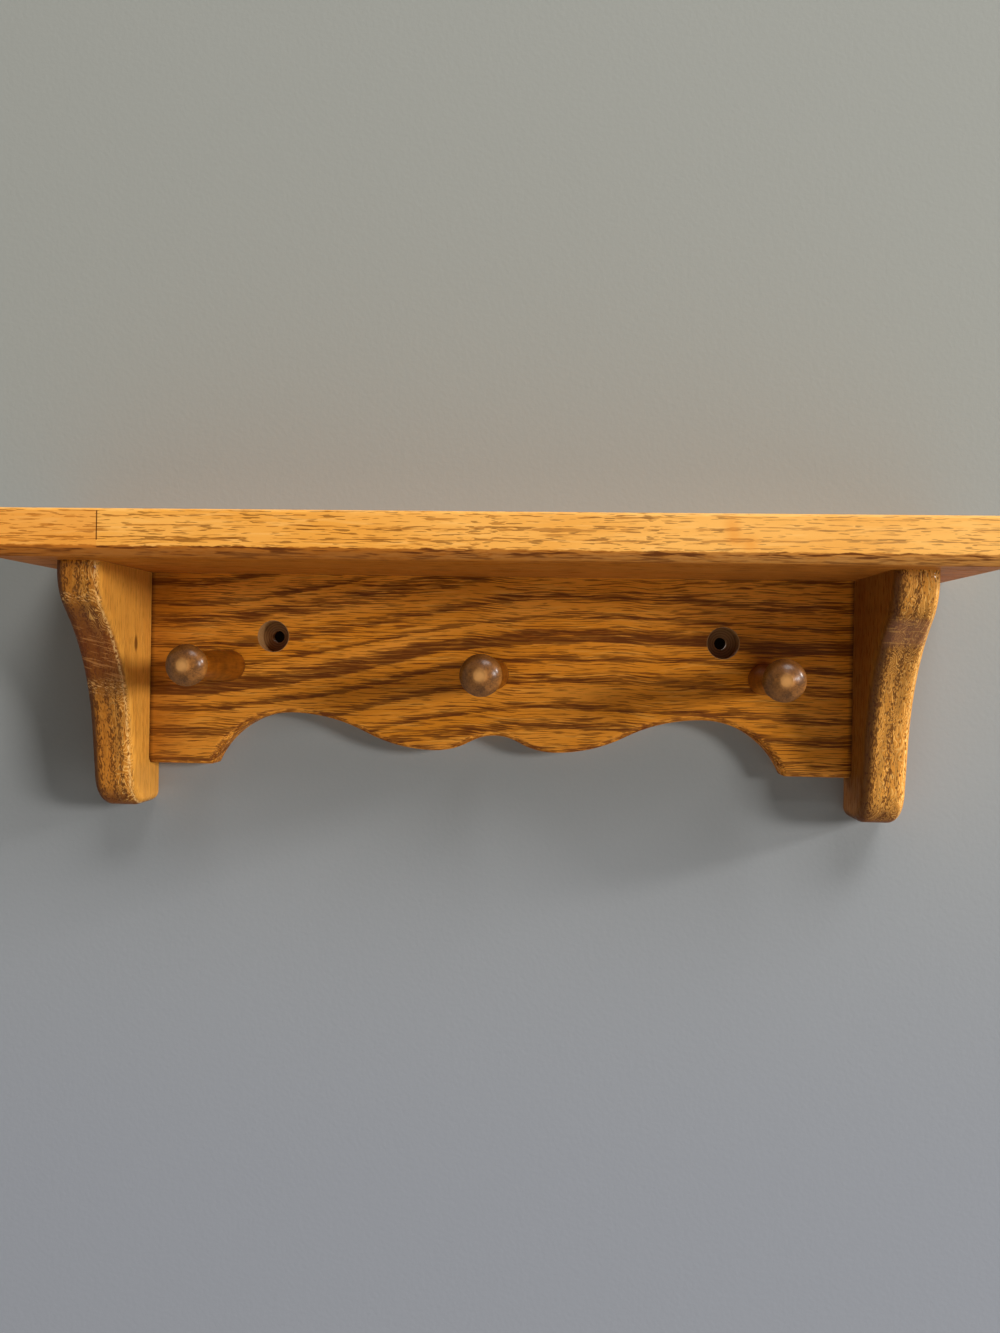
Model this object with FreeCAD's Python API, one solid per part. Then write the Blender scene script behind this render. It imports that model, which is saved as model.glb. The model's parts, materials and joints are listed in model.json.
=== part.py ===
# Shaker style peg rail with a shelf, in oak, made to hang on a wall.
# Millimetres. X runs to the right along the shelf, Y towards the wall and Z up.
# The origin is on the wall, midway between the two screw holes of the back board.

import FreeCAD, Part
import os
from math import cos, radians, sin, sqrt, tan

# Shelf board, 3/4 inch stock that overhangs both brackets.
shelf_length = 406.4
shelf_depth = 88.9
shelf_thickness = 19.05
shelf_overhang = 24.15          # past the outside of each bracket
shelf_round = 4.76              # rounded over below, at the front and both ends
shelf_ease = 1.6                # sharp edges sanded off on top

# Brackets, 3/4 inch stock with an ogee front that tapers to a round-ended leg.
bracket_thickness = 19.05
bracket_depth = 71.2            # from the wall to the brow, at the shelf
bracket_height = 107.0
bracket_brow_height = 3.0       # the short upright flat under the shelf
bracket_ogee_height = 69.3      # the S curve below it
bracket_leg_depth = 34.5        # where the S curve runs out into the leg
bracket_taper = 9.5             # of the leg, in degrees from upright
bracket_toe_radius = 16.0       # front corner of the leg's end
bracket_round = 4.76            # rounded over on both faces, down the front and along the end
brow_share = 0.26               # of the S curve, the part that bulges

# Back board, 1/2 inch stock between the brackets, with a scalloped lower edge.
board_height = 88.1
board_thickness = 12.7
board_round = 3.2               # rounded over in front, all along the lower edge
arch_place_share = 0.5875       # of the board's half length, to the top of each arch
arch_reach = 36.3               # from the top of the arch out to its foot
arch_rise = 24.5                # of the arch above the feet
foot_round = 1.5                # where the arch runs out, sanded off
lobe_place_share = 0.172        # of the board's half length, to the bottom of each lobe
lobe_rise = 8.4
notch_rise = 15.7               # of the small arch in the middle
lobe_share = 0.48               # of the curve from a lobe to an arch, the part that bulges
notch_share = 0.40              # of the curve from the small arch to a lobe, its hollow part

# Screw holes in the back board, counterbored for the screw's head and a cover plug.
screw_spacing_share = 0.640625  # of the board's length
screw_drop = 28.6               # below the shelf
screw_hole = 5.56
screw_head_bore = 14.29
screw_head_depth = 9.53

# Turned pegs, each with a tenon, a shank that narrows to a neck, and a domed button head.
peg_spacing_share = 0.38        # of the board's length
peg_drop = 44.5                 # below the shelf
peg_offset = -0.8               # the row is bored a little left of the middle
peg_lean = 1.8                  # to the left, in degrees, as all three bores lean
left_peg_rise = 2.1             # the left peg is set a little higher than the others
peg_reach = 59.0                # from the board to the tip
peg_tenon = 9.53
peg_tenon_inset = 0.4           # the tenon stops just short of the wall
peg_shank = 13.8
peg_neck = 10.8                 # behind the head
peg_neck_length = 5.0           # how far the shank takes to narrow
peg_head = 17.5
peg_head_length = 10.0
peg_dome_length = 5.4           # of the head, from its rim to the tip
peg_rim_length = 2.4            # of the head, where it is widest
peg_crown = 13.6                # where the side of the dome turns over into its front
peg_crown_length = 1.7          # from there to the tip
peg_tip = 5.0                   # small flat that the turning leaves on the tip

# Loose tenons, glued into blind mortises, that hold the boards together.
tenon_thickness = 6.0
tenon_ease = 0.8                # its ends are eased to start it in the mortise
shelf_tenon_place_share = 0.47  # of the bracket's depth, from the wall to its middle
shelf_tenon_width_share = 0.5   # of the bracket's depth
shelf_tenon_in_shelf = 12.0
shelf_tenon_in_bracket = 20.0
board_tenon_place_share = 0.5   # of the board's height
board_tenon_width_share = 0.4   # of the board's height
board_tenon_in_bracket = 12.0
board_tenon_in_board = 18.0

glue_gap = 0.1                  # round a tenon, on each side
mortise_end_gap = 0.5           # past each end of a loose tenon
overrun = 1.0                   # of a cutter past the face that it opens
tolerance = 0.01                # for telling whether an edge lies on a face

# Places that follow from the sizes.
board_length = shelf_length - 2 * (shelf_overhang + bracket_thickness)
board_end = board_length / 2
shelf_under = screw_drop
shelf_top = shelf_under + shelf_thickness
board_foot = shelf_under - board_height
bracket_middle = board_end + bracket_thickness / 2
bracket_outside = board_end + bracket_thickness
bracket_foot = shelf_under - bracket_height
peg_axis = shelf_under - peg_drop
sides = {"left": -1, "right": 1}

up = FreeCAD.Vector(0, 0, 1)
right = FreeCAD.Vector(1, 0, 0)
to_wall = FreeCAD.Vector(0, 1, 0)
along_peg = FreeCAD.Vector(-sin(radians(peg_lean)), -cos(radians(peg_lean)), 0)


def point(x, y, z):
    return FreeCAD.Vector(x, y, z)


def line(start, end):
    return Part.LineSegment(start, end).toShape()


# A round arc from start to end that touches the straight runs to the corner between them.
def arc(start, corner, end):
    weight = (end - start).Length / (2 * (corner - start).Length)
    middle = (start + corner * (2 * weight) + end) * (1 / (2 + 2 * weight))
    return Part.Arc(start, middle, end).toShape()


# An S curve of two arcs that meet without a kink. It leaves start along the first heading
# and reaches end along the second. The share is how much of it the first arc takes.
def ogee(start, first_heading, end, second_heading, share):
    ratio = (1 - share) / share
    chord = end - start
    run = chord.dot(first_heading + second_heading * ratio)
    turn = 2 * ratio * (1 - first_heading.dot(second_heading)) * chord.dot(chord)
    first_leg = chord.dot(chord) / (run + sqrt(run * run + turn))
    first_corner = start + first_heading * first_leg
    second_corner = end - second_heading * (first_leg * ratio)
    meeting = first_corner + (second_corner - first_corner) * share
    return [arc(start, first_corner, meeting), arc(meeting, second_corner, end)]


def face_of(edges):
    return Part.Face(Part.Wire(Part.__sortEdges__(edges)))


def rod(start, direction, diameter, length):
    return Part.makeCylinder(diameter / 2, length, start, direction)


def middle_of(edge):
    return edge.valueAt((edge.FirstParameter + edge.LastParameter) / 2)


def same(a, b):
    return abs(a - b) < tolerance


# A block from its lowest corner to its highest.
def block(low, high):
    size = high - low
    return Part.makeBox(size.x, size.y, size.z, low)


# The loose tenon between the shelf and a bracket. The room is what its mortises have more
# of, on the sides and at the ends.
def shelf_tenon(side, side_room, end_room):
    x = side * bracket_middle
    half_thickness = tenon_thickness / 2 + side_room
    half_width = shelf_tenon_width_share * bracket_depth / 2 + side_room
    y = -shelf_tenon_place_share * bracket_depth
    low = shelf_under - shelf_tenon_in_bracket - end_room
    high = shelf_under + shelf_tenon_in_shelf + end_room
    return block(
        point(x - half_thickness, y - half_width, low),
        point(x + half_thickness, y + half_width, high),
    )


# The loose tenon between the back board and a bracket.
def board_tenon(side, side_room, end_room):
    y = -board_thickness / 2
    half_thickness = tenon_thickness / 2 + side_room
    half_width = board_tenon_width_share * board_height / 2 + side_room
    z = shelf_under - board_tenon_place_share * board_height
    inner = side * (board_end - board_tenon_in_board - end_room)
    outer = side * (board_end + board_tenon_in_bracket + end_room)
    return block(
        point(min(inner, outer), y - half_thickness, z - half_width),
        point(max(inner, outer), y + half_thickness, z + half_width),
    )


# The edges at both ends of a loose tenon are eased.
def eased(tenon, along):
    box = tenon.BoundBox
    lengthwise = {"x": (box.XMin, box.XMax), "z": (box.ZMin, box.ZMax)}[along]
    ends = []
    for edge in tenon.Edges:
        place = getattr(middle_of(edge), along)
        if same(place, lengthwise[0]) or same(place, lengthwise[1]):
            ends.append(edge)
    return tenon.makeChamfer(tenon_ease, ends)


def peg_places():
    face = -board_thickness
    spacing = peg_spacing_share * board_length
    return {
        "left_peg": point(peg_offset - spacing, face, peg_axis + left_peg_rise),
        "centre_peg": point(peg_offset, face, peg_axis),
        "right_peg": point(peg_offset + spacing, face, peg_axis),
    }


def shelf_board():
    low = point(-shelf_length / 2, -shelf_depth, shelf_under)
    board = block(low, point(shelf_length / 2, 0, shelf_top))
    free = [edge for edge in board.Edges if not same(middle_of(edge).y, 0)]
    lower = [edge for edge in free if same(middle_of(edge).z, shelf_under)]
    board = board.makeFillet(shelf_round, lower)
    upper = []
    for edge in board.Edges:
        middle = middle_of(edge)
        if same(middle.z, shelf_top) and not same(middle.y, 0):
            upper.append(edge)
    board = board.makeFillet(shelf_ease, upper)
    for side in sides.values():
        board = board.cut(shelf_tenon(side, glue_gap, mortise_end_gap))
    return board


# The bracket's outline seen from the side: down the brow, the S curve and the leg, round
# the toe, along the end and back up the wall.
def bracket_outline(x):
    lean = radians(bracket_taper)
    down_leg = point(0, sin(lean), -cos(lean))
    brow_foot = shelf_under - bracket_brow_height
    leg_top = brow_foot - bracket_ogee_height
    toe_leg = bracket_toe_radius * tan((radians(90) - lean) / 2)

    brow = point(x, -bracket_depth, shelf_under)
    brow_end = point(x, -bracket_depth, brow_foot)
    leg_start = point(x, -bracket_leg_depth, leg_top)
    toe = leg_start + down_leg * ((leg_top - bracket_foot) / cos(lean))
    leg_end = toe - down_leg * toe_leg
    toe_end = toe + to_wall * toe_leg
    wall_foot = point(x, 0, bracket_foot)
    wall_top = point(x, 0, shelf_under)
    edges = [line(brow, brow_end)]
    edges += ogee(brow_end, -up, leg_start, down_leg, brow_share)
    edges.append(line(leg_start, leg_end))
    edges.append(arc(leg_end, toe, toe_end))
    edges.append(line(toe_end, wall_foot))
    edges.append(line(wall_foot, wall_top))
    edges.append(line(wall_top, brow))
    return edges


def bracket(side):
    inside = side * board_end
    plate = face_of(bracket_outline(inside)).extrude(right * (side * bracket_thickness))
    rounded = []
    for edge in plate.Edges:
        middle = middle_of(edge)
        on_face = same(abs(middle.x), board_end) or same(abs(middle.x), bracket_outside)
        if on_face and not same(middle.y, 0) and not same(middle.z, shelf_under):
            rounded.append(edge)
    plate = plate.makeFillet(bracket_round, rounded)
    plate = plate.cut(shelf_tenon(side, glue_gap, mortise_end_gap))
    return plate.cut(board_tenon(side, glue_gap, mortise_end_gap))


# One half of the scalloped edge, from the small arch in the middle out to the end.
def half_scallop(side):
    y = -board_thickness
    outwards = right * side
    arch_place = arch_place_share * board_end
    lobe_place = lobe_place_share * board_end
    notch = point(0, y, board_foot + notch_rise)
    lobe = point(side * lobe_place, y, board_foot + lobe_rise)
    arch = point(side * arch_place, y, board_foot + arch_rise)
    foot = point(side * (arch_place + arch_reach), y, board_foot)
    end = point(side * board_end, y, board_foot)
    arch_leg = (arch_reach * arch_reach + arch_rise * arch_rise) / (2 * arch_reach)
    edges = ogee(notch, outwards, lobe, outwards, notch_share)
    edges += ogee(lobe, outwards, arch, outwards, lobe_share)
    edges.append(arc(arch, arch + outwards * arch_leg, foot))
    edges.append(line(foot, end))
    return edges


def back_board():
    y = -board_thickness
    left_top = point(-board_end, y, shelf_under)
    right_top = point(board_end, y, shelf_under)
    outline = half_scallop(1) + half_scallop(-1)
    outline.append(line(point(board_end, y, board_foot), right_top))
    outline.append(line(right_top, left_top))
    outline.append(line(left_top, point(-board_end, y, board_foot)))
    board = face_of(outline).extrude(to_wall * board_thickness)
    arch_foot = arch_place_share * board_end + arch_reach
    corners = [edge for edge in board.Edges if same(abs(middle_of(edge).x), arch_foot)]
    board = board.makeFillet(foot_round, corners)
    lower = []
    for edge in board.Edges:
        middle = middle_of(edge)
        upright = same(abs(middle.x), board_end)
        if same(middle.y, y) and not upright and not same(middle.z, shelf_under):
            lower.append(edge)
    board = board.makeFillet(board_round, lower)
    for side in sides.values():
        mouth = point(side * screw_spacing_share * board_end, y - overrun, 0)
        through = board_thickness + 2 * overrun
        board = board.cut(rod(mouth, to_wall, screw_hole, through))
        board = board.cut(rod(mouth, to_wall, screw_head_bore, screw_head_depth + overrun))
        board = board.cut(board_tenon(side, glue_gap, mortise_end_gap))
    for place in peg_places().values():
        start = place + along_peg * overrun
        through = board_thickness + 2 * overrun
        board = board.cut(rod(start, -along_peg, peg_tenon + 2 * glue_gap, through))
    return board


# A peg is turned about its own length. The profile runs from the tenon's end to the tip,
# as radius and distance out from the shoulder. The shoulder meets the board on one side,
# because the peg leans.
def peg(seat):
    def at(radius, out):
        return point(radius, -out, 0)

    head_back = peg_reach - peg_head_length
    rim = peg_reach - peg_dome_length
    profile = [
        at(0, peg_tenon_inset - board_thickness),
        at(peg_tenon / 2, peg_tenon_inset - board_thickness),
        at(peg_tenon / 2, 0),
        at(peg_shank / 2, 0),
        at(peg_shank / 2, head_back - peg_neck_length),
        at(peg_neck / 2, head_back),
        at(peg_head / 2, rim - peg_rim_length),
        at(peg_head / 2, rim),
        at(peg_crown / 2, peg_reach - peg_crown_length),
        at(peg_tip / 2, peg_reach),
        at(0, peg_reach),
    ]
    edges = [line(start, end) for start, end in zip(profile, profile[1:] + profile[:1])]
    turned = face_of(edges).revolve(point(0, 0, 0), to_wall, 360)
    turned.rotate(point(0, 0, 0), up, -peg_lean)
    turned.translate(seat + along_peg * (peg_shank / 2 * sin(radians(peg_lean))))
    return turned


def build():
    parts = {"shelf_board": shelf_board(), "back_board": back_board()}
    for name, side in sides.items():
        parts[name + "_bracket"] = bracket(side)
        parts[name + "_shelf_tenon"] = eased(shelf_tenon(side, 0, 0), "z")
        parts[name + "_board_tenon"] = eased(board_tenon(side, 0, 0), "x")
    for name, seat in peg_places().items():
        parts[name] = peg(seat)
    return parts


os.makedirs("parts", exist_ok=True)
for node, shape in build().items():
    if not shape.isValid() or len(shape.Solids) != 1:
        raise ValueError(node + " isn't one sound solid")
    shape.exportStep("parts/" + node + ".step")
    print(node, round(shape.Volume), "cubic mm")
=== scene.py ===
import json
from functools import partial
from math import cos, radians, sin, tau

import bmesh
import bpy
from mathutils import Matrix, Vector


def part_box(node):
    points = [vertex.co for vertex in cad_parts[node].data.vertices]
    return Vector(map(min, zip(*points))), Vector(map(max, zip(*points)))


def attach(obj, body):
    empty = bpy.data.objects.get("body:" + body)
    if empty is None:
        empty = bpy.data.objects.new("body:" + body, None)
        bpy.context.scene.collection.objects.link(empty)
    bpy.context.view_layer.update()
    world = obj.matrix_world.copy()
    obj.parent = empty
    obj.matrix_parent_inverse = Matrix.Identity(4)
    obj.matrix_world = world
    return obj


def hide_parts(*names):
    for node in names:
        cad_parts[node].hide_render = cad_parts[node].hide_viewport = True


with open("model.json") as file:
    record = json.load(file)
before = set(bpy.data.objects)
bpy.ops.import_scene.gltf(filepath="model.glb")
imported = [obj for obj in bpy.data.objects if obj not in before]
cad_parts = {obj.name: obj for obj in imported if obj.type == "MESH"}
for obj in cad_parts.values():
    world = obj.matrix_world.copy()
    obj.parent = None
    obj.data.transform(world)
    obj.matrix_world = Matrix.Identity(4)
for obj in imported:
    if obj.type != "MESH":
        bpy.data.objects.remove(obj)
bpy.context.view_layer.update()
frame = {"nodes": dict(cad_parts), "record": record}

mm = 0.001
nodes = frame["nodes"]
screwPlaces = [Vector(mount["pos_m"]) / mm for mount in frame["record"]["mounts"]
               if mount["name"].endswith("plug_bore")]
print("frame loaded:", len(nodes), "pieces")

# a Map Range node's setting: it eases in and out
smooth = {"interpolation_type": "SMOOTHSTEP"}
# refraction of lacquer, wood and paint; the wood's own shine is low, or dark grain looks hazy
finish = {"ior": 1.5, "woodSpecular": 0.06, "paintSpecular": 0.1}


# sRGB hex to the linear colour that the shaders want
def paint(hexColour):
    channels = [int(hexColour[i:i + 2], 16) / 255 for i in (1, 3, 5)]
    return [c / 12.92 if c <= 0.04045 else ((c + 0.055) / 1.055) ** 2.4 for c in channels] + [1.0]


# one node: its settings, and its inputs as numbers, colours or other nodes' outputs
def addNode(tree, kind, inputs=(), out=0, **settings):
    node = tree.nodes.new("ShaderNode" + kind)
    for setting, value in settings.items():
        setattr(node, setting, value)
    for socket, value in inputs.items() if isinstance(inputs, dict) else enumerate(inputs):
        if isinstance(value, bpy.types.NodeSocket):
            tree.links.new(value, node.inputs[socket])
        elif value is not None:
            node.inputs[socket].default_value = value
    return node.outputs[out] if node.outputs else node


def newMaterial(name):
    material = bpy.data.materials.new(name)
    material.use_nodes = True
    material.node_tree.nodes.clear()
    return material, partial(addNode, material.node_tree)


def dress(nodeName, material):
    for slot in nodes[nodeName].material_slots:
        slot.material = material


# the spot in the piece's own millimetres
def ownPlace(node):
    return node("VectorMath", {0: node("TexCoord", out="Object"), "Scale": 1 / mm},
                operation="SCALE")


# 0 to 1 share of marks drawn out along the grain; lift makes them denser where it is high
def grainMarks(node, grain, mark, lift=0.0):
    across = 1 / mark["width"]
    place = node("Mapping", {"Vector": grain, "Location": (mark["shift"],) * 3,
                             "Scale": (1 / mark["length"], across, across)})
    noise = node("TexNoise", {"Vector": place, "Scale": 1.0, "Detail": mark["detail"]})
    lifted = node("Math", (noise, lift), operation="ADD")
    return node("MapRange", {"Value": lifted, "From Min": mark["from"], "From Max": mark["to"]},
                **smooth)


# 1 at the centre, fading to 0 at reach on both sides
def nearTo(node, value, centre, reach):
    away = node("Math", (node("Math", (value, centre), operation="SUBTRACT"),),
                operation="ABSOLUTE")
    return node("MapRange", {"Value": away, "From Min": reach, "From Max": 0.0}, **smooth)


# lays a colour over another as thickly as share times most
def layOver(node, below, colour, share, most=1.0):
    thickness = node("Math", (share, most), operation="MULTIPLY", use_clamp=True)
    return node("Mix", {0: thickness, 6: below, 7: paint(colour)}, out=2, data_type="RGBA")


# the spot in the wood twice: by the straight fibres, and by the rings, which climb across the
# board and wander
def grainPlaces(node, axes, wood):
    along, thick, wide = (axes[wood[way]] for way in ("along", "thick", "wide"))
    sway = node("TexNoise", {"W": node("Math", (along, wood["swayScale"]), operation="MULTIPLY"),
                             "Scale": 1.0, "Detail": 1.0}, noise_dimensions="1D")
    straight = node("CombineXYZ", (along, node("Math", (sway, wood["sway"], wide),
                                               operation="MULTIPLY_ADD"), thick))
    for start, end, rise in wood["climbs"]:
        climb = node("MapRange", {"Value": along, "From Min": start, "From Max": end,
                                  "To Max": rise}, **smooth)
        wide = node("Math", (wide, climb), operation="SUBTRACT")
    for length, width, reach in wood["wanders"]:
        place = node("Mapping", {"Vector": node("CombineXYZ", (along, wide, thick)),
                                 "Scale": (1 / length, 1 / width, 1 / width)})
        drift = node("TexNoise", {"Vector": place, "Scale": 1.0, "Detail": 1.0})
        wide = node("Math", (drift, reach, wide), operation="MULTIPLY_ADD")
    return straight, node("CombineXYZ", (along, wide, thick))


# One growth ring in shares of its width: where the early wood's pores start and thin out, and
# where the dark edge lies. Uneven is how many rings the spacing wanders by.
ringForm = {"unevenScale": 0.45, "uneven": 1.6, "poresBy": 0.12, "thinFrom": 0.2,
            "edgeFrom": 0.72, "edgeTo": 0.96, "toneSpread": 0.6, "toneLeast": 0.4}


# the share of early wood and of the rings' dark edges
def growthRings(node, grain, wood):
    form = ringForm
    fromHeart = node("VectorMath", (grain, (0, *wood["heart"])), operation="SUBTRACT")
    fromHeart = node("VectorMath", (fromHeart, (0, 1, 1)), operation="MULTIPLY")
    radius = node("VectorMath", (fromHeart,), out="Value", operation="LENGTH")
    rings = node("Math", (radius, wood["ringWidth"]), operation="DIVIDE")
    uneven = node("TexNoise", {"W": rings, "Scale": form["unevenScale"], "Detail": 1.0},
                  noise_dimensions="1D")
    rings = node("Math", (uneven, form["uneven"], rings), operation="MULTIPLY_ADD")
    ringPart = node("Math", (rings,), operation="FRACT")
    ringTone = node("TexWhiteNoise", {"W": node("Math", (rings,), operation="FLOOR")},
                    noise_dimensions="1D")
    ringEdge = node("MapRange", {"Value": ringPart, "From Min": form["edgeFrom"],
                                 "From Max": form["edgeTo"]}, **smooth)
    starts = node("MapRange", {"Value": ringPart, "From Max": form["poresBy"]}, **smooth)
    thins = node("MapRange", {"Value": ringPart, "From Min": form["thinFrom"],
                              "From Max": wood["earlyShare"], "To Min": 1.0, "To Max": 0.0},
                 **smooth)
    early = node("Math", (starts, thins), operation="MULTIPLY")
    depth = node("Math", (ringTone, form["toneSpread"], form["toneLeast"]),
                 operation="MULTIPLY_ADD")
    return node("Math", (early, depth), operation="MULTIPLY"), ringEdge


# eased edges, told by a normal that lies along no axis, are rubbed and took stain unevenly; on
# the shelf they are painted pale as a highlight
def rubbedEdges(node, grain, wood):
    parts = node("VectorMath", (node("TexCoord", out="Normal"),), operation="ABSOLUTE")
    parts = node("SeparateXYZ", (parts,)).node.outputs
    flatness = node("Math", (parts["X"], parts["Y"]), operation="MAXIMUM")
    flatness = node("Math", (flatness, parts["Z"]), operation="MAXIMUM")
    eased = node("MapRange", {"Value": flatness, "From Min": wood["easedFrom"],
                              "From Max": wood["easedTo"]}, **smooth)
    return node("Math", (eased, grainMarks(node, grain, wood["wear"])), operation="MULTIPLY")


# Red oak, planed and sanded, honey stained, under a semi-gloss lacquer. The growth rings are
# cylinders round the tree's heart, and each starts with coarse open pores that drank the stain,
# so the eye sees brown streaks on gold. Real pores are 0.3 mm wide and are drawn nearly twice
# as wide or more, to show.
def oak(name, wood, figure):
    material, node = newMaterial(name)
    axes = node("SeparateXYZ", (ownPlace(node),)).node.outputs
    facing = node("SeparateXYZ", (node("TexCoord", out="Normal"),)).node.outputs
    straight, grain = grainPlaces(node, axes, wood)
    early, ringEdge = growthRings(node, grain, wood)

    # bands of early wood, pale rays, streaks of stain and open pores
    lift = node("Math", (early, wood["bandLift"]), operation="MULTIPLY")
    patch = grainMarks(node, grain, wood["patches"])
    streak = grainMarks(node, straight, wood["streaks"], lift)
    pore = grainMarks(node, straight, wood["pores"], lift)
    ray = grainMarks(node, straight, wood["rays"])
    shade = layOver(node, paint(wood["pale"]), wood["deep"], patch)
    shade = layOver(node, shade, wood["band"], early, wood["bandShow"])
    shade = layOver(node, shade, wood["rayTone"], ray, wood["rayShow"])
    shade = layOver(node, shade, wood["streak"], ringEdge, wood["ringShow"])
    shade = layOver(node, shade, wood["streak"], streak, wood["streakShow"])
    shade = layOver(node, shade, wood["pore"], pore, wood["poreShow"])
    shallow = node("Math", (streak, wood["streakDepth"]), operation="MULTIPLY")
    hollow = node("Math", (pore, shallow), operation="MAXIMUM")

    rubbed = rubbedEdges(node, grain, wood)
    # edge wear, and on the shelf a painted highlight
    shade = layOver(node, shade, wood["worn"], rubbed, wood["wornShow"])
    shade, marks = figure(node, axes, facing, grain, shade)
    hollow = node("Math", (hollow, marks), operation="MAXIMUM")

    # pores and rubbed edges are duller than the flat lacquer
    dent = node("Bump", {"Height": hollow, "Strength": wood["relief"],
                         "Distance": wood["poreDepth"] * mm}, invert=True)
    dull = node("Math", (node("Math", (hollow, rubbed), operation="MAXIMUM"), wood["dulling"],
                         wood["roughness"]), operation="MULTIPLY_ADD")
    surface = node("BsdfPrincipled", {
        "Base Color": shade, "Roughness": dull, "Normal": dent, "IOR": finish["ior"],
        "Specular IOR Level": finish["woodSpecular"], "Coat Weight": wood["lacquer"],
        "Coat Roughness": wood["lacquerRoughness"], "Coat IOR": finish["ior"]})
    node("OutputMaterial", (surface,))
    return material


# Back board, flat sawn: long streaks in bands, climbing to the right on the left half. Lengths
# are millimetres and shares are 0 to 1. A climb is start, end and rise, and a wander is length,
# width and reach. From and to are where the noise starts to mark and where it marks fully.
backBoardWood = {
    "along": "X", "thick": "Y", "wide": "Z",
    "climbs": [(-150.0, 30.0, 26.0), (30.0, 160.0, -4.0)],
    "wanders": [(110.0, 30.0, 9.0), (35.0, 9.0, 1.6)],
    "heart": (-240.0, 60.0), "ringWidth": 9.5, "earlyShare": 0.62, "bandLift": 0.2,
    "sway": 5.0, "swayScale": 0.02,
    "pale": "#E49332", "deep": "#D5831F", "band": "#9A520E", "streak": "#74380A",
    "pore": "#4A2004", "rayTone": "#E8A445", "worn": "#6A3208",
    "patches": {"length": 70.0, "width": 14.0, "shift": 1.3, "detail": 2.0,
                "from": 0.3, "to": 0.7},
    "streaks": {"length": 26.0, "width": 0.9, "shift": 0.0, "detail": 3.0,
                "from": 0.59, "to": 0.66},
    "pores": {"length": 13.0, "width": 0.55, "shift": 9.1, "detail": 2.0,
              "from": 0.545, "to": 0.605},
    "rays": {"length": 20.0, "width": 1.5, "shift": 5.3, "detail": 1.0,
             "from": 0.56, "to": 0.70},
    "wear": {"length": 5.0, "width": 2.0, "shift": 7.7, "detail": 2.0,
             "from": 0.35, "to": 0.60},
    "easedFrom": 0.99, "easedTo": 0.86,
    "bandShow": 0.14, "rayShow": 0.4, "streakShow": 0.8, "poreShow": 0.65, "wornShow": 0.7,
    "ringShow": 0.0,
    "relief": 0.35, "poreDepth": 0.15, "streakDepth": 0.3, "roughness": 0.42, "dulling": 0.25,
    "lacquer": 0.1, "lacquerRoughness": 0.2,
}
# the counterbores show their drilled sides, ringed by the bit, but not on a face that looks
# back further than behindFrom
drilled = {"radius": 7.35, "behindFrom": 0.5, "wood": "#A67A4C", "dark": "#6E4A28",
           "ringPitch": 1.1, "ringShow": 0.6}
# painted shade towards the left end, and a painted shadow in the gaps at the joints with both
# brackets
boardEnds = {"stain": "#7A4410", "stainFrom": -132.0, "stainTo": -160.0, "stainShow": 0.5,
             "joint": "#341808", "jointFrom": 158.0, "jointTo": 160.0, "jointShow": 0.75}


def boardFigure(node, axes, facing, grain, shade):
    ends = boardEnds
    # painted shade towards the left end, and painted shadow in the joint gaps
    stained = node("MapRange", {"Value": axes["X"], "From Min": ends["stainFrom"],
                                "From Max": ends["stainTo"]}, **smooth)
    shade = layOver(node, shade, ends["stain"], stained, ends["stainShow"])
    joint = node("MapRange", {"Value": node("Math", (axes["X"],), operation="ABSOLUTE"),
                              "From Min": ends["jointFrom"], "From Max": ends["jointTo"]})
    shade = layOver(node, shade, ends["joint"], joint, ends["jointShow"])
    forward = node("Math", (facing["Y"], drilled["behindFrom"]), operation="LESS_THAN")
    flat = node("CombineXYZ", (axes["X"], 0.0, axes["Z"]))
    for screw in screwPlaces:
        reach = node("VectorMath", (flat, (screw.x, 0, screw.z)), out="Value",
                     operation="DISTANCE")
        inside = node("Math", (reach, drilled["radius"]), operation="LESS_THAN")
        inside = node("Math", (inside, forward), operation="MULTIPLY")
        turns = node("Math", (reach, tau / drilled["ringPitch"]), operation="MULTIPLY")
        turns = node("Math", (turns,), operation="SINE")
        bare = layOver(node, paint(drilled["wood"]), drilled["dark"], turns,
                       drilled["ringShow"])
        shade = node("Mix", {0: inside, 6: shade, 7: bare}, out=2, data_type="RGBA")
    return shade, 0.0


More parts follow.
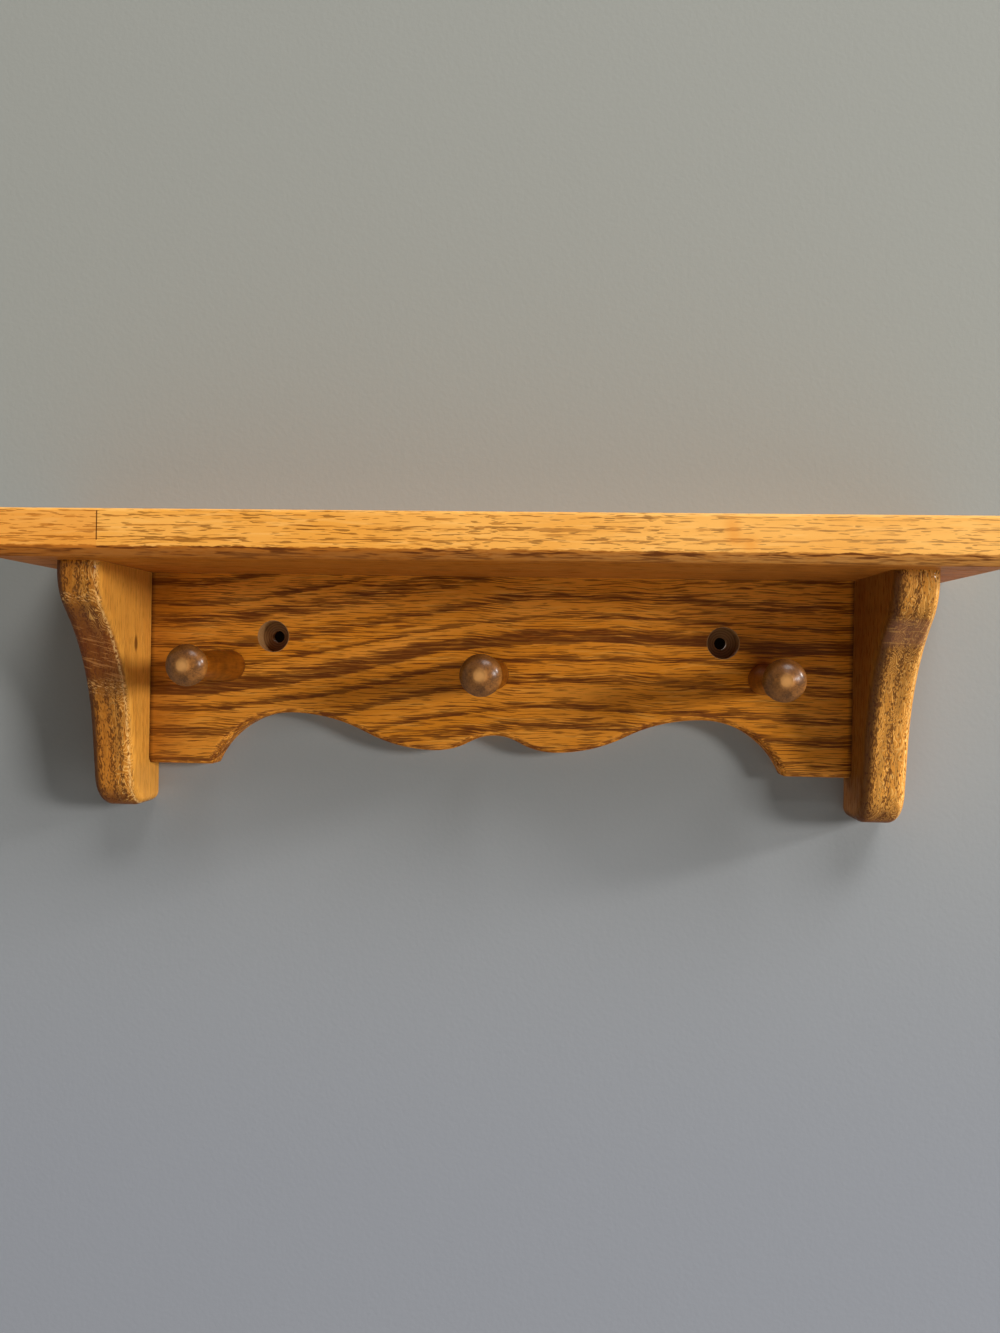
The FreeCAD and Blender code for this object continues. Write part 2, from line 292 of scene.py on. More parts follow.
# Shelf: an even pale gold with short brown dashes in rows.
shelfWood = dict(
    backBoardWood, thick="Z", wide="Y", climbs=[(-200.0, 200.0, 6.0)],
    wanders=[(120.0, 30.0, 4.0)], heart=(-60.0, 150.0), ringWidth=3.2, earlyShare=0.75,
    bandLift=0.10,
    pale="#F0AC52", deep="#E69C3E", band="#E09438", streak="#9C5C18", pore="#784610",
    # its eased edges are painted pale: a painted highlight
    rayTone="#F6BA66", worn="#F4BE70", bandShow=0.25, streakShow=0.7, poreShow=0.7, wornShow=0.4,
    streaks={"length": 16.0, "width": 0.8, "shift": 0.0, "detail": 2.0,
             "from": 0.615, "to": 0.655},
    pores={"length": 8.0, "width": 0.65, "shift": 9.1, "detail": 1.0, "from": 0.63, "to": 0.67},
    lacquer=0.05,
)
shelfEdge = {
    # The routed underside and the faces that look down get a painted shade, with a ragged border,
    # and less of it towards the right on the roundover, where painted light eases it. From and to
    # are how far a face looks down.
    "routed": "#9E5410", "routedShow": 0.82, "routedFrom": 0.22, "routedTo": 0.30,
    "ragged": 0.3, "raggedScale": (0.25, 0.8, 0.8),
    "thinning": -0.35, "roundFrom": 1.0, "roundTo": 0.85,
    # a broken dark seam along that border, and dashes of the same stain on the routed part
    "seam": "#5A2A08", "seamShow": 0.8, "seamFrom": 0.85, "seamTo": 0.55, "seamLeast": 0.15,
    "dashes": {"length": 14.0, "width": 1.3, "shift": 6.1, "detail": 2.0,
               "from": 0.50, "to": 0.62},
    "dashShow": 0.6,
    # painted light makes the shelf paler to the right, where three orange spots lie: their X, Z
    # and radius
    "paleEnd": "#FACC80", "paleEndShow": 0.18, "paleFrom": -80.0, "paleTo": 180.0,
    "blush": "#DE8424", "blushShow": 0.4,
    "blushes": [(94.0, 43.0, 5.0), (95.0, 38.0, 5.0), (101.0, 36.0, 5.0)],
    # a fine dark upright line in front, with slightly darker wood beyond it
    "line": "#4A2206", "lineShow": 0.9, "lineX": -153.2, "lineWidth": 0.5, "lineFoot": 35.0,
    "beyondLine": "#D8802C", "beyondShow": 0.32, "frontFacing": -0.95,
}


def shelfFigure(node, axes, facing, grain, shade):
    edge = shelfEdge
    down = node("Math", (facing["Z"], -1.0), operation="MULTIPLY")
    ragged = node("TexNoise", {"Vector": node("Mapping", {
        "Vector": grain, "Scale": edge["raggedScale"]}), "Scale": 1.0, "Detail": 2.0})
    level = node("Math", (ragged, edge["ragged"], down), operation="MULTIPLY_ADD")
    routed = node("MapRange", {"Value": level, "From Min": edge["routedFrom"],
                               "From Max": edge["routedTo"]}, **smooth)
    seam = node("MapRange", {"Value": level, "From Min": edge["seamFrom"],
                             "From Max": edge["seamTo"]}, **smooth)
    seam = node("Math", (seam, routed), operation="MULTIPLY")
    dash = grainMarks(node, grain, edge["dashes"])
    broken = node("Math", (dash, 1 - edge["seamLeast"], edge["seamLeast"]),
                  operation="MULTIPLY_ADD")
    seam = node("Math", (seam, broken), operation="MULTIPLY")
    dash = node("Math", (dash, routed), operation="MULTIPLY")

    # painted light: the shelf grows paler towards the right
    paleEnd = node("MapRange", {"Value": axes["X"], "From Min": edge["paleFrom"],
                                "From Max": edge["paleTo"]}, **smooth)
    shade = layOver(node, shade, edge["paleEnd"], paleEnd, edge["paleEndShow"])
    flat = node("CombineXYZ", (axes["X"], 0.0, axes["Z"]))
    for blushX, blushZ, blushReach in edge["blushes"]:
        away = node("VectorMath", (flat, (blushX, 0, blushZ)), out="Value",
                    operation="DISTANCE")
        blush = node("MapRange", {"Value": away, "From Min": blushReach, "From Max": 0.0},
                     **smooth)
        shade = layOver(node, shade, edge["blush"], blush, edge["blushShow"])

    # painted shade on faces that look down, eased towards the right on the roundover by painted
    # light
    rounded = node("MapRange", {"Value": down, "From Min": edge["roundFrom"],
                                "From Max": edge["roundTo"]}, **smooth)
    thin = node("Math", (node("Math", (paleEnd, rounded), operation="MULTIPLY"),
                         edge["thinning"], 1.0), operation="MULTIPLY_ADD")
    stained = node("Math", (routed, thin), operation="MULTIPLY")
    shade = layOver(node, shade, edge["routed"], stained, edge["routedShow"])
    shade = layOver(node, shade, edge["seam"], dash, edge["dashShow"])
    shade = layOver(node, shade, edge["seam"], seam, edge["seamShow"])

    forward = node("Math", (facing["Y"], edge["frontFacing"]), operation="LESS_THAN")
    beyond = node("Math", (axes["X"], edge["lineX"]), operation="LESS_THAN")
    beyond = node("Math", (beyond, forward), operation="MULTIPLY")
    shade = layOver(node, shade, edge["beyondLine"], beyond, edge["beyondShow"])
    line = node("Math", (axes["X"], edge["lineX"], edge["lineWidth"] / 2), operation="COMPARE")
    above = node("Math", (axes["Z"], edge["lineFoot"]), operation="GREATER_THAN")
    line = node("Math", (line, above), operation="MULTIPLY")
    line = node("Math", (line, forward), operation="MULTIPLY")
    return layOver(node, shade, edge["line"], line, edge["lineShow"]), seam


# Brackets: straight upright grain on their sides.
bracketWood = dict(
    backBoardWood, along="Z", thick="X", wide="Y", climbs=[(-70.0, 20.0, -5.0)],
    wanders=[(70.0, 20.0, 5.0)], heart=(120.0, -40.0), ringWidth=2.1, earlyShare=0.75,
    bandLift=0.10, ringShow=0.55,
    pale="#DE9A3E", deep="#CC8230", band="#C07628", streak="#9A5A1C", pore="#6A360E",
    rayTone="#E8A850", worn="#A8661E", bandShow=0.5, streakShow=0.6, poreShow=0.5, wornShow=0.5,
    streaks={"length": 22.0, "width": 1.5, "shift": 2.0, "detail": 2.0, "from": 0.56, "to": 0.70},
    pores={"length": 6.0, "width": 1.0, "shift": 4.1, "detail": 1.0, "from": 0.58, "to": 0.68},
    lacquer=0.14, roughness=0.4, lacquerRoughness=0.1, relief=1.0,
)
# What both brackets share. The sawn ogee fronts cut the rings at a slant, so they show arcs,
# specks where pores end and a dark zone with wavy chatter ripples; the arcs and ripples are
# drawn pale as painted highlights. From and to are how far a face turns to that side, or where
# a noise starts to mark and marks fully.
bothFigures = {
    "sawnFrom": -0.38, "sawnTo": -0.62, "sawnShow": 0.55,
    # painted shade on faces that look down and left, painted light on faces that look right
    "footTone": "#6A380C", "footFrom": -0.35, "footTo": -0.85, "footShow": 0.9,
    "leftTone": "#562C0A", "leftFrom": -0.05, "leftTo": -0.5, "leftShow": 0.65,
    "rightTone": "#EEA844", "rightFrom": 0.5, "rightTo": 0.9,
    # a deeper painted shade on the left roundover, and the outer face's own painted tone, set by
    # how it is lit rather than by the wood
    "cornerTone": "#3C1A04", "cornerFrom": -1.0, "cornerTo": -0.85, "cornerShow": 0.5,
    "outerFrom": 0.93, "outerTo": 1.0,
    # a painted highlight along the right roundover, but not where specks lie
    "rimTone": "#F6C880", "rimAt": 0.6, "rimReach": 0.16, "rimShow": 0.6,
    "glintFrom": 0.58, "glintTo": 0.44,
    "waveScale": (0.10, 0.06, 1.3), "waveWarp": 0.3,
    "rippleFrom": 0.58, "rippleTo": 0.68, "rippleShow": 0.4,
    "arc": "#E8AC58", "arcs": 34.0, "cloudScale": (0.10, 0.06, 0.035), "cloudWarp": 0.4,
    "arcFrom": 0.55, "arcTo": 0.95, "arcsSoft": 4.0, "arcShow": 0.9,
    "speck": "#502406", "speckScale": (1.6, 0.9, 0.6), "speckWarp": 0.3,
    "speckFrom": 0.55, "speckTo": 0.67, "speckShow": 0.8,
    "columnSway": 5.0, "columnScale": 0.12, "columnLift": 0.14,
    # painted glints: bright strokes in groups up the front
    "fleckTone": "#FABE70", "sparkScale": (0.6, 0.4, 1.7), "sparkFrom": 0.54, "sparkTo": 0.63,
    "fleckShow": 0.75,
    "knotHeight": 2.0, "knotOuter": 2.4, "knotInner": 0.9, "knotShow": 0.8,
}
# Each column of specks is its X and width, each group of painted glints its Z and reach, and the
# knot its Y and Z. Outward is the way that the bracket's outer face looks.
leftFigure = dict(
    bothFigures, outward=-1.0, outerTone="#A06A28", outerShow=0.5, sawn="#B06A18",
    rightShow=0.5, arcsFrom=-170.0,
    zone="#6E3204", zoneShow=0.78, zoneTop=2.0, zoneFoot=-25.0, zoneSoft=8.0,
    ripple="#D89450", rippleSlope=0.25,
    columns=[(-174.5, 2.0), (-169.0, 2.2), (-165.0, 1.6)],
    flecks=[(13.5, 3.5), (-24.0, 5.0)], knot=(-30.3, -4.4),
)
# the right bracket's sawn front is painted lighter than the left's: painted light, as the right
# end of the rail is lit more strongly
rightFigure = dict(
    bothFigures, outward=1.0, outerTone="#A8702C", outerShow=0.55, sawn="#D8923A",
    rightShow=0.3, arcsFrom=162.0,
    zone="#8C5C40", zoneShow=0.6, zoneTop=9.0, zoneFoot=-1.0, zoneSoft=2.0,
    ripple="#E8AC58", rippleSlope=0.04,
    columns=[(164.0, 2.2), (170.0, 2.4)], flecks=[], knot=None,
)


# bracket faces by where they look: each is a tone laid over the wood; all but the sawn front are
# painted light and shade, lighter facing right and darker facing left and down
def bracketFaces(wood, node, facing, forward, shade):
    leftward = node("MapRange", {"Value": facing["X"], "From Min": wood["leftFrom"],
                                 "From Max": wood["leftTo"]}, **smooth)
    rightward = node("MapRange", {"Value": facing["X"], "From Min": wood["rightFrom"],
                                  "From Max": wood["rightTo"]}, **smooth)
    outer = node("MapRange", {
        "Value": node("Math", (facing["X"], wood["outward"]), operation="MULTIPLY"),
        "From Min": wood["outerFrom"], "From Max": wood["outerTo"]}, **smooth)
    corner = node("MapRange", {"Value": facing["X"], "From Min": wood["cornerFrom"],
                               "From Max": wood["cornerTo"]})
    corner = node("Math", (leftward, corner), operation="MULTIPLY")
    notOuter = node("Math", (1.0, outer), operation="SUBTRACT")
    leftward = node("Math", (leftward, notOuter), operation="MULTIPLY")
    rightward = node("Math", (rightward, notOuter), operation="MULTIPLY")
    foot = node("MapRange", {"Value": facing["Z"], "From Min": wood["footFrom"],
                             "From Max": wood["footTo"]}, **smooth)
    shade = layOver(node, shade, wood["sawn"], forward, wood["sawnShow"])
    shade = layOver(node, shade, wood["footTone"], foot, wood["footShow"])
    shade = layOver(node, shade, wood["leftTone"], leftward, wood["leftShow"])
    shade = layOver(node, shade, wood["cornerTone"], corner, wood["cornerShow"])
    shade = layOver(node, shade, wood["rightTone"], rightward, wood["rightShow"])
    return layOver(node, shade, wood["outerTone"], outer, wood["outerShow"]), rightward


# pore ends as noise, denser in columns that sway from side to side
def bracketSpecks(wood, node, axes, spot):
    specks = node("TexNoise", {"Vector": node("Mapping", {
        "Vector": spot, "Scale": wood["speckScale"]}), "Scale": 1.0, "Detail": 3.0,
        "Distortion": wood["speckWarp"]})
    wander = node("TexNoise", {"W": axes["Z"], "Scale": wood["columnScale"], "Detail": 2.0},
                  noise_dimensions="1D")
    swayed = node("Math", (wander, wood["columnSway"], axes["X"]), operation="MULTIPLY_ADD")
    for columnX, columnWidth in wood["columns"]:
        column = nearTo(node, swayed, columnX + wood["columnSway"] / 2, columnWidth)
        specks = node("Math", (column, wood["columnLift"], specks), operation="MULTIPLY_ADD")
    return specks


# contour lines of a drawn-out cloud, nested like the arcs that a saw leaves open, drawn pale on
# the right part of the front as painted highlight
def bracketArcs(wood, node, axes, spot, forward):
    cloud = node("TexNoise", {"Vector": node("Mapping", {
        "Vector": spot, "Scale": wood["cloudScale"]}), "Scale": 1.0, "Detail": 2.0,
        "Distortion": wood["cloudWarp"]})
    nest = node("Math", (cloud, wood["arcs"]), operation="MULTIPLY")
    nest = node("Math", (nest,), operation="FRACT")
    arc = node("MapRange", {"Value": nest, "From Min": wood["arcFrom"],
                            "From Max": wood["arcTo"]}, **smooth)
    arcSide = node("MapRange", {"Value": axes["X"], "From Min": wood["arcsFrom"],
                                "From Max": wood["arcsFrom"] + wood["arcsSoft"]})
    arc = node("Math", (arc, forward), operation="MULTIPLY")
    return node("Math", (arc, arcSide), operation="MULTIPLY")


# the share of the dark zone across the front
def bracketZone(wood, node, axes, forward):
    top, foot, soft = wood["zoneTop"], wood["zoneFoot"], wood["zoneSoft"]
    overFoot = node("MapRange", {"Value": axes["Z"], "From Min": foot - soft,
                                 "From Max": foot + soft}, **smooth)
    underTop = node("MapRange", {"Value": axes["Z"], "From Min": top + soft,
                                 "From Max": top - soft}, **smooth)
    zone = node("Math", (overFoot, underTop), operation="MULTIPLY")
    return node("Math", (zone, forward), operation="MULTIPLY")


# painted glints: bright strokes in groups up the front
def bracketFlecks(wood, node, axes, slanted, forward, shade):
    sparks = node("TexNoise", {"Vector": node("Mapping", {
        "Vector": slanted, "Scale": wood["sparkScale"]}), "Scale": 1.0, "Detail": 2.0})
    spark = node("MapRange", {"Value": sparks, "From Min": wood["sparkFrom"],
                              "From Max": wood["sparkTo"]})
    spark = node("Math", (spark, forward), operation="MULTIPLY")
    for fleckZ, fleckReach in wood["flecks"]:
        near = nearTo(node, axes["Z"], fleckZ, fleckReach)
        fleck = node("Math", (spark, near), operation="MULTIPLY")
        shade = layOver(node, shade, wood["fleckTone"], fleck, wood["fleckShow"])
    return shade


# a knot on the face that looks right, drawn out upwards by its height
def bracketKnot(wood, node, axes, rightward, shade):
    knotY, knotZ = wood["knot"]
    squat = node("Math", (axes["Z"], 1 / wood["knotHeight"]), operation="MULTIPLY")
    reach = node("VectorMath", (node("CombineXYZ", (0.0, axes["Y"], squat)),
                                (0, knotY, knotZ / wood["knotHeight"])),
                 out="Value", operation="DISTANCE")
    knot = node("MapRange", {"Value": reach, "From Min": wood["knotOuter"],
                             "From Max": wood["knotInner"]}, **smooth)
    knot = node("Math", (knot, rightward), operation="MULTIPLY")
    return layOver(node, shade, wood["speck"], knot, wood["knotShow"])


def bracketFigure(wood, node, axes, facing, grain, shade):
    forward = node("MapRange", {"Value": facing["Y"], "From Min": wood["sawnFrom"],
                                "From Max": wood["sawnTo"]}, **smooth)
    shade, rightward = bracketFaces(wood, node, facing, forward, shade)
    spot = node("CombineXYZ", (axes["X"], axes["Y"], axes["Z"]))
    slanted = node("CombineXYZ", (axes["X"], axes["Y"], node(
        "Math", (axes["X"], wood["rippleSlope"], axes["Z"]), operation="MULTIPLY_ADD")))

    specks = bracketSpecks(wood, node, axes, spot)
    speck = node("MapRange", {"Value": specks, "From Min": wood["speckFrom"],
                              "From Max": wood["speckTo"]}, **smooth)
    speck = node("Math", (speck, forward), operation="MULTIPLY")
    arc = bracketArcs(wood, node, axes, spot, forward)
    zone = bracketZone(wood, node, axes, forward)
    # pale arcs: painted highlight on the sawn grain
    shade = layOver(node, shade, wood["arc"], arc, wood["arcShow"])
    shade = layOver(node, shade, wood["speck"], speck, wood["speckShow"])
    shade = layOver(node, shade, wood["zone"], zone, wood["zoneShow"])

    # painted highlight along the right roundover
    rim = nearTo(node, facing["X"], wood["rimAt"], wood["rimReach"])
    glint = node("MapRange", {"Value": specks, "From Min": wood["glintFrom"],
                              "From Max": wood["glintTo"]})
    rim = node("Math", (rim, glint), operation="MULTIPLY")
    shade = layOver(node, shade, wood["rimTone"], rim, wood["rimShow"])
    # pale ripples in the dark zone: chatter marks drawn as painted highlights
    waves = node("TexNoise", {"Vector": node("Mapping", {
        "Vector": slanted, "Scale": wood["waveScale"]}), "Scale": 1.0, "Detail": 1.0,
        "Distortion": wood["waveWarp"]})
    ripple = node("MapRange", {"Value": waves, "From Min": wood["rippleFrom"],
                               "From Max": wood["rippleTo"]}, **smooth)
    ripple = node("Math", (ripple, zone), operation="MULTIPLY")
    shade = layOver(node, shade, wood["ripple"], ripple, wood["rippleShow"])

    if wood["flecks"]:
        shade = bracketFlecks(wood, node, axes, slanted, forward, shade)
    if wood["knot"]:
        shade = bracketKnot(wood, node, axes, rightward, shade)
    return shade, node("Math", (speck, arc), operation="MAXIMUM")


# Turned hardwood peg under a thick gloss lacquer. The dome shows end grain, which took up more
# stain and looks grey-brown, and the small flat on the tip was sanded pale.
pegWood = {
    "shank": "#8C4C0C", "shankDark": "#673408", "dome": "#865422", "domeDark": "#54320F",
    "headFrom": 46.0, "headTo": 50.0,         # millimetres out from the shoulder
    "grainLength": 9.0, "grainWidth": 0.7, "cloudScale": 0.22, "fibreShare": 0.5,
    "toneFrom": 0.36, "toneTo": 0.64,
    # painted shade on the head's upper side, which the shelf above shades
    "crest": "#3A1C08", "crestFrom": 0.05, "crestTo": 0.7, "crestShow": 0.6,    # its upper side
    "tip": "#C08A4E", "tipOuter": 4.8, "tipInner": 1.6, "tipWobble": 2.0, "tipShow": 0.8,
    "relief": 0.2, "fibreDepth": 0.1,
    "roughness": 0.45, "lacquer": 0.3, "lacquerRoughness": 0.24,
}


def turnedPegWood():
    material, node = newMaterial("turnedPegWood")
    wood = pegWood
    spot = ownPlace(node)
    thin = 1 / wood["grainWidth"]
    fibres = node("VectorMath", (spot, (thin, thin, 1 / wood["grainLength"])),
                  operation="MULTIPLY")
    fibre = node("TexNoise", {"Vector": fibres, "Scale": 1.0, "Detail": 3.0})
    cloud = node("TexNoise", {"Vector": spot, "Scale": wood["cloudScale"], "Detail": 1.0})
    fine = node("Math", (fibre, wood["fibreShare"]), operation="MULTIPLY")
    tone = node("Math", (cloud, 1 - wood["fibreShare"], fine), operation="MULTIPLY_ADD")
    tone = node("MapRange", {"Value": tone, "From Min": wood["toneFrom"],
                             "From Max": wood["toneTo"]})
    out = node("SeparateXYZ", (spot,), out="Z")
    onHead = node("MapRange", {"Value": out, "From Min": wood["headFrom"],
                               "From Max": wood["headTo"]}, **smooth)
    fromAxis = node("VectorMath", (spot, (1, 1, 0)), operation="MULTIPLY")
    fromAxis = node("VectorMath", (fromAxis,), out="Value", operation="LENGTH")
    wobbly = node("Math", (cloud, wood["tipWobble"], fromAxis), operation="MULTIPLY_ADD")
    onTip = node("MapRange", {"Value": wobbly, "From Min": wood["tipOuter"],
                              "From Max": wood["tipInner"]}, **smooth)
    onTip = node("Math", (onTip, onHead), operation="MULTIPLY")
    upward = node("SeparateXYZ", (node("TexCoord", out="Normal"),), out="Y")
    # painted shade on the upper side of the head
    crest = node("MapRange", {"Value": upward, "From Min": wood["crestFrom"],
                              "From Max": wood["crestTo"]}, **smooth)
    shank = layOver(node, paint(wood["shank"]), wood["shankDark"], tone)
    dome = layOver(node, paint(wood["dome"]), wood["domeDark"], tone)
    dome = layOver(node, dome, wood["crest"], crest, wood["crestShow"])
    shade = node("Mix", {0: onHead, 6: shank, 7: dome}, out=2, data_type="RGBA")
    shade = layOver(node, shade, wood["tip"], onTip, wood["tipShow"])
    dent = node("Bump", {"Height": fibre, "Strength": wood["relief"],
                         "Distance": wood["fibreDepth"] * mm})
    surface = node("BsdfPrincipled", {
        "Base Color": shade, "Roughness": wood["roughness"], "Normal": dent,
        "IOR": finish["ior"], "Specular IOR Level": finish["woodSpecular"],
        "Coat Weight": wood["lacquer"], "Coat Roughness": wood["lacquerRoughness"],
        "Coat IOR": finish["ior"]})
    node("OutputMaterial", (surface,))
    return material


# Bare beech, planed and left unfinished: dull, pale and even, with short brown rays.
beechWood = {"pale": "#D9B98C", "ray": "#A97C4E", "rayLength": 3.0, "rayWidth": 0.5,
             "roughness": 0.7}


def bareBeech():
    material, node = newMaterial("bareBeech")
    thin = 1 / beechWood["rayWidth"]
    fibres = node("VectorMath", (ownPlace(node), (1 / beechWood["rayLength"], thin, thin)),
                  operation="MULTIPLY")
    ray = node("TexNoise", {"Vector": fibres, "Scale": 1.0, "Detail": 2.0})
    shade = layOver(node, paint(beechWood["pale"]), beechWood["ray"], ray)
    surface = node("BsdfPrincipled", {"Base Color": shade, "IOR": finish["ior"],
                                      "Roughness": beechWood["roughness"]})
    node("OutputMaterial", (surface,))
    return material


print("materials")
dress("back_board", oak("honeyOakBackBoard", backBoardWood, boardFigure))
dress("shelf_board", oak("honeyOakShelf", shelfWood, shelfFigure))
dress("left_bracket", oak("honeyOakLeftBracket", bracketWood,
                          partial(bracketFigure, leftFigure)))
dress("right_bracket", oak("honeyOakRightBracket", dict(bracketWood, heart=(110.0, 50.0)),
                           partial(bracketFigure, rightFigure)))
beech = bareBeech()
for tenon in ("left_shelf_tenon", "right_shelf_tenon", "left_board_tenon", "right_board_tenon"):
    dress(tenon, beech)

# The turned peg, in millimetres: distance out from the shoulder and diameter there. Its shank
# swells at the board, narrows to a neck, and ends in a bead and a domed button with a flat tip.
pegShape = {
    "lean": 1.8, "segments": 96, "stepsPerSpan": 5,
    "tenon": [(-12.3, 9.53), (-0.02, 9.53)],
    "profile": [
        (0.0, 13.8), (0.6, 14.2), (8.0, 14.1), (23.4, 13.5), (36.0, 12.2), (43.0, 11.1),
        (46.2, 10.8), (46.9, 11.6), (47.9, 12.6), (48.7, 12.4), (49.3, 12.2), (50.4, 14.4),
        (51.8, 16.6), (53.6, 17.5), (55.2, 16.6), (56.8, 14.0), (57.9, 10.6), (58.6, 7.2),
        (58.95, 5.2),
    ],
    "tip": (59.0, 5.0), "widest": (53.6, 17.5),
}


# a smooth curve through the profile's points (Catmull-Rom)
def smoothProfile(points, steps):
    curve = []
    for i in range(len(points) - 1):
        before, start = points[max(i - 1, 0)], points[i]
        end, after = points[i + 1], points[min(i + 2, len(points) - 1)]
        for step in range(steps):
            t = step / steps
            curve.append(tuple(
                0.5 * (2 * b + (c - a) * t + (2 * a - 5 * b + 4 * c - d) * t * t
                       + (3 * b - a - 3 * c + d) * t ** 3)
                for a, b, c, d in zip(before, start, end, after)))
    curve.append(points[-1])
    return curve


def turnedPeg(name, material):
    outline = pegShape["tenon"] + smoothProfile(pegShape["profile"], pegShape["stepsPerSpan"])
    outline.append(pegShape["tip"])
    segments = pegShape["segments"]
    shape = bmesh.new()
    rings = [[shape.verts.new((cos(tau * i / segments) * diameter / 2 * mm,
                               sin(tau * i / segments) * diameter / 2 * mm, out * mm))
              for i in range(segments)] for out, diameter in outline]
    for lower, upper in zip(rings, rings[1:]):
        for i in range(segments):
            j = (i + 1) % segments
            shape.faces.new((lower[i], lower[j], upper[j], upper[i])).smooth = True
    shape.faces.new(list(reversed(rings[0])))
    shape.faces.new(rings[-1])
    mesh = bpy.data.meshes.new(name + "_turned")
    shape.to_mesh(mesh)
    shape.free()
    mesh.materials.append(material)
    peg = bpy.data.objects.new(name + "_turned", mesh)
    bpy.context.scene.collection.objects.link(peg)

    # the peg's own Z axis runs out of the board, leaning left, and its tip and widest place
    # meet the front and the left side of the CAD peg's box
    lean = radians(pegShape["lean"])
    axis = Vector((-sin(lean), -cos(lean), 0))
    side = Vector((cos(lean), -sin(lean), 0))
    low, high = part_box(name)
    tipOut, tipWidth = pegShape["tip"]
    headOut, headWidth = pegShape["widest"]
    seat = Vector((low.x + (headWidth / 2 * cos(lean) + headOut * sin(lean)) * mm,
                   low.y + (tipOut * cos(lean) + tipWidth / 2 * sin(lean)) * mm,
                   (low.z + high.z) / 2))
    turn = Matrix((side, axis.cross(side), axis)).transposed().to_4x4()
    peg.matrix_world = Matrix.Translation(seat) @ turn
    return peg


print("pegs")
pegMaterial = turnedPegWood()
for name in ("left_peg", "centre_peg", "right_peg"):
    peg = turnedPeg(name, pegMaterial)
    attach(peg, "root")
    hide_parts(name)

print("studio")

# Matt wall paint, rolled on: a mid grey that turns cooler downwards, with a faint stipple and
# a dark disc of painted shade for the plug hole behind each screw hole. Seen from behind, the
# wall lets the view and the light through, so that the back of the rail shows.
wallPaint = {"high": "#959690", "low": "#8A8D94", "lowZ": -300.0, "highZ": 150.0,
             "stipple": 2.0, "relief": 0.35, "stippleDepth": 0.2, "roughness": 0.8,
             "plugRadius": 3.4, "plug": "#1A140E"}
floorPaint = dict(wallPaint, high="#D6D3CC", low="#D6D3CC")


def rolledPaint(name, coat, onWall):
    material, node = newMaterial(name)
    spot = ownPlace(node)
    stipple = node("TexNoise", {"Vector": spot, "Scale": 1 / coat["stipple"], "Detail": 2.0})
    dent = node("Bump", {"Height": stipple, "Strength": coat["relief"],
                         "Distance": coat["stippleDepth"] * mm})
    height = node("SeparateXYZ", (spot,), out="Z")
    lowness = node("MapRange", {"Value": height, "From Min": coat["highZ"],
                                "From Max": coat["lowZ"]}, **smooth)
    shade = layOver(node, paint(coat["high"]), coat["low"], lowness)
    for screw in screwPlaces if onWall else ():
        reach = node("VectorMath", (spot, (screw.x, 0, screw.z)), out="Value",
                     operation="DISTANCE")
        # painted shade: a dark disc where each plug hole lies
        inPlug = node("Math", (reach, coat["plugRadius"]), operation="LESS_THAN")
        shade = layOver(node, shade, coat["plug"], inPlug)
    surface = node("BsdfPrincipled", {
        "Base Color": shade, "Roughness": coat["roughness"], "Normal": dent,
        "IOR": finish["ior"], "Specular IOR Level": finish["paintSpecular"]})
    if onWall:
        through = node("Math", (node("LightPath", out="Is Shadow Ray"),
                                node("NewGeometry", out="Backfacing")), operation="MAXIMUM")
        surface = node("MixShader", (through, surface, node("BsdfTransparent")))
    node("OutputMaterial", (surface,))
    return material


def panel(name, corners, material):
    mesh = bpy.data.meshes.new(name)
    mesh.from_pydata([Vector(corner) for corner in corners], [], [(0, 1, 2, 3)])
    thing = bpy.data.objects.new(name, mesh)
    bpy.context.scene.collection.objects.link(thing)
    mesh.materials.append(material)


# metres: how far the wall and floor reach, and how far the floor lies below the rail
studio = {"halfWidth": 1.6, "wallTop": 1.2, "floorDrop": 0.75, "floorReach": 2.2,
          "wallGap": 0.0004}
side, back, drop = studio["halfWidth"], studio["wallGap"], -studio["floorDrop"]
panel("studioWall", [(-side, back, drop), (side, back, drop), (side, back, studio["wallTop"]),
                     (-side, back, studio["wallTop"])],
      rolledPaint("rolledWallPaint", wallPaint, True))
reach = studio["floorReach"]
panel("studioFloor", [(-side, -reach, drop), (side, -reach, drop), (side, reach, drop),
                      (-side, reach, drop)],
      rolledPaint("paleFloorPaint", floorPaint, False))

print("lamps")

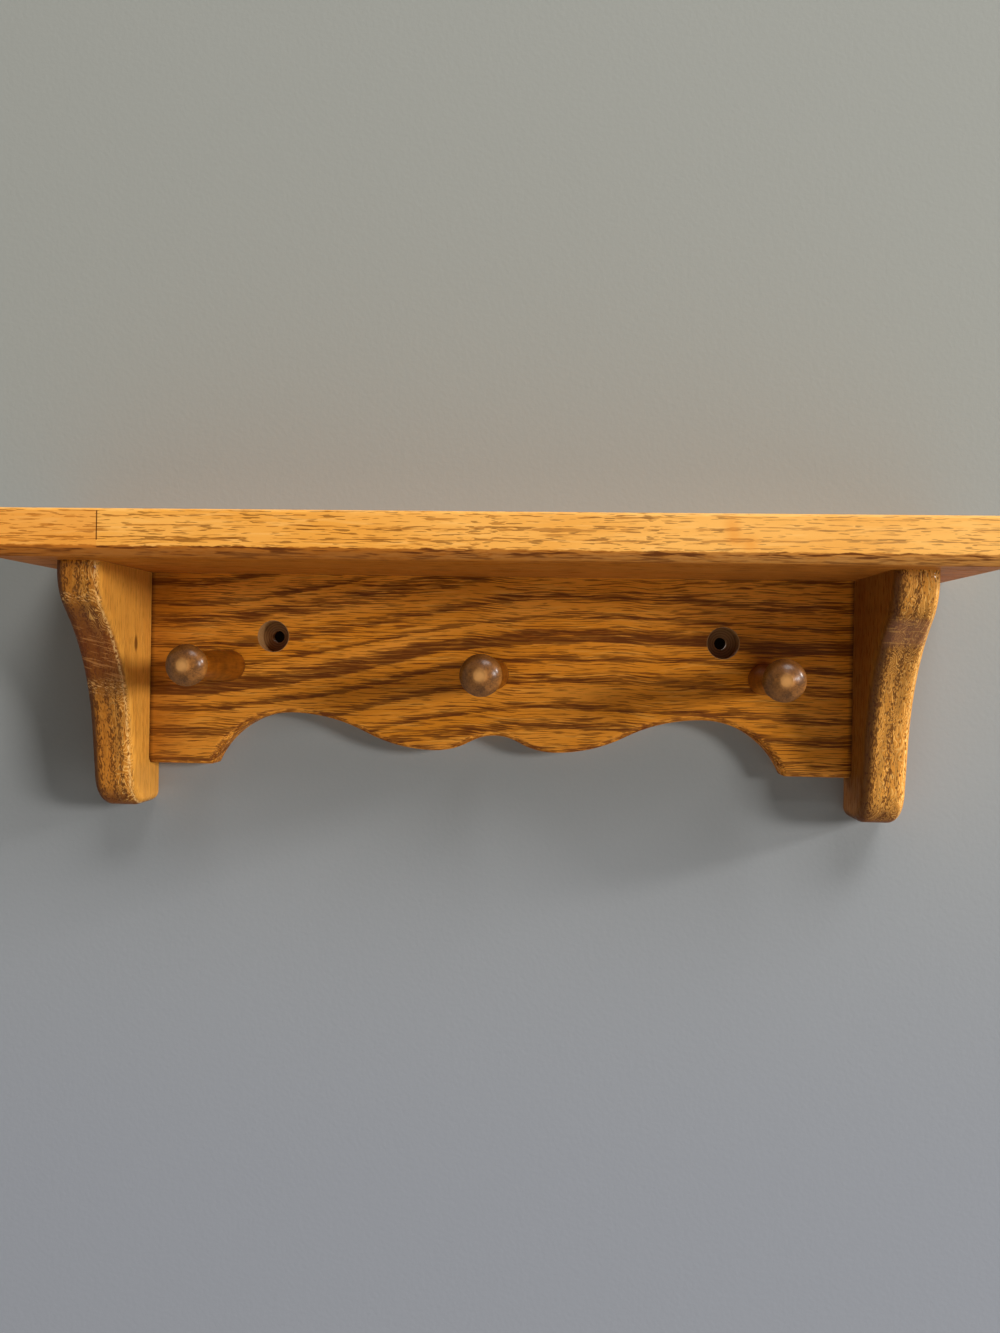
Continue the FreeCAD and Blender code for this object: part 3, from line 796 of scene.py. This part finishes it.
# Lamps, all aimed at the rail: place in metres, size in metres, power in watts, and colour.
lamps = {
    "windowRight": {"place": (6.40, -1.39, 2.08), "size": (0.64, 0.64), "power": 338.0,
                    "colour": "#FFFEFC"},
    "roomRight": {"place": (5.20, -3.70, 0.80), "size": (1.4, 1.0), "power": 256.0,
                  "colour": "#FFFEFC"},
    "ceilingFront": {"place": (1.12, -2.10, 3.15), "size": (1.96, 1.26), "power": 106.0,
                     "colour": "#FFFFFF"},
    "behind": {"place": (-0.75, 2.1, 1.2), "size": (1.8, 1.5), "power": 40.0,
               "colour": "#FFFFFF"},
}
for name, lamp in lamps.items():
    light = bpy.data.lights.new(name, "AREA")
    light.shape = "RECTANGLE"
    light.size, light.size_y = lamp["size"]
    light.energy = lamp["power"]
    light.color = paint(lamp["colour"])[:3]
    holder = bpy.data.objects.new(name, light)
    bpy.context.scene.collection.objects.link(holder)
    holder.location = lamp["place"]
    holder.rotation_euler = (-holder.location).to_track_quat("-Z", "Y").to_euler()

# The world: a dim even room light, and a pale background where the view passes the wall.
room = {"light": "#E9EAEE", "lightStrength": 0.03,
        "background": "#D9D8D4", "backgroundStrength": 1.0}
world = bpy.data.worlds.new("room")
bpy.context.scene.world = world
world.use_nodes = True
world.node_tree.nodes.clear()
node = partial(addNode, world.node_tree)
seen = node("Math", (node("LightPath", out="Is Camera Ray"),
                     node("LightPath", out="Is Glossy Ray")), operation="MAXIMUM")
seen = node("Math", (seen, node("LightPath", out="Is Transmission Ray")), operation="MAXIMUM")
dim = node("Background", (paint(room["light"]), room["lightStrength"]))
pale = node("Background", (paint(room["background"]), room["backgroundStrength"]))
node("OutputWorld", (node("MixShader", (seen, dim, pale)),))

print("camera")

# The camera stands where the picture was taken, worked out from the rail's straight edges.
# Its place and the nearest that it sees are metres, its angles degrees, and its lens mm.
camera = {"place": (0.03068, -0.5062, -0.01237), "yaw": -3.305, "pitch": 0.025, "roll": 0.968,
          "sensor": 36.0, "lens": 29.36, "nearest": 0.01}
yaw, pitch, roll = (radians(camera[angle]) for angle in ("yaw", "pitch", "roll"))
forward = Vector((sin(yaw) * cos(pitch), cos(yaw) * cos(pitch), sin(pitch)))
level = Vector((cos(yaw), -sin(yaw), 0))
upright = level.cross(forward)
across = level * cos(roll) + upright * sin(roll)
upwards = upright * cos(roll) - level * sin(roll)
lens = bpy.data.cameras.new("camera")
lens.sensor_width = camera["sensor"]
lens.sensor_fit = "AUTO"
lens.lens = camera["lens"]
lens.clip_start = camera["nearest"]
eye = bpy.data.objects.new("camera", lens)
bpy.context.scene.collection.objects.link(eye)
eye.matrix_world = Matrix.Translation(camera["place"]) @ Matrix(
    (across, upwards, -forward)).transposed().to_4x4()
bpy.context.scene.camera = eye
bpy.context.scene.view_settings.view_transform = "Standard"

print("done")
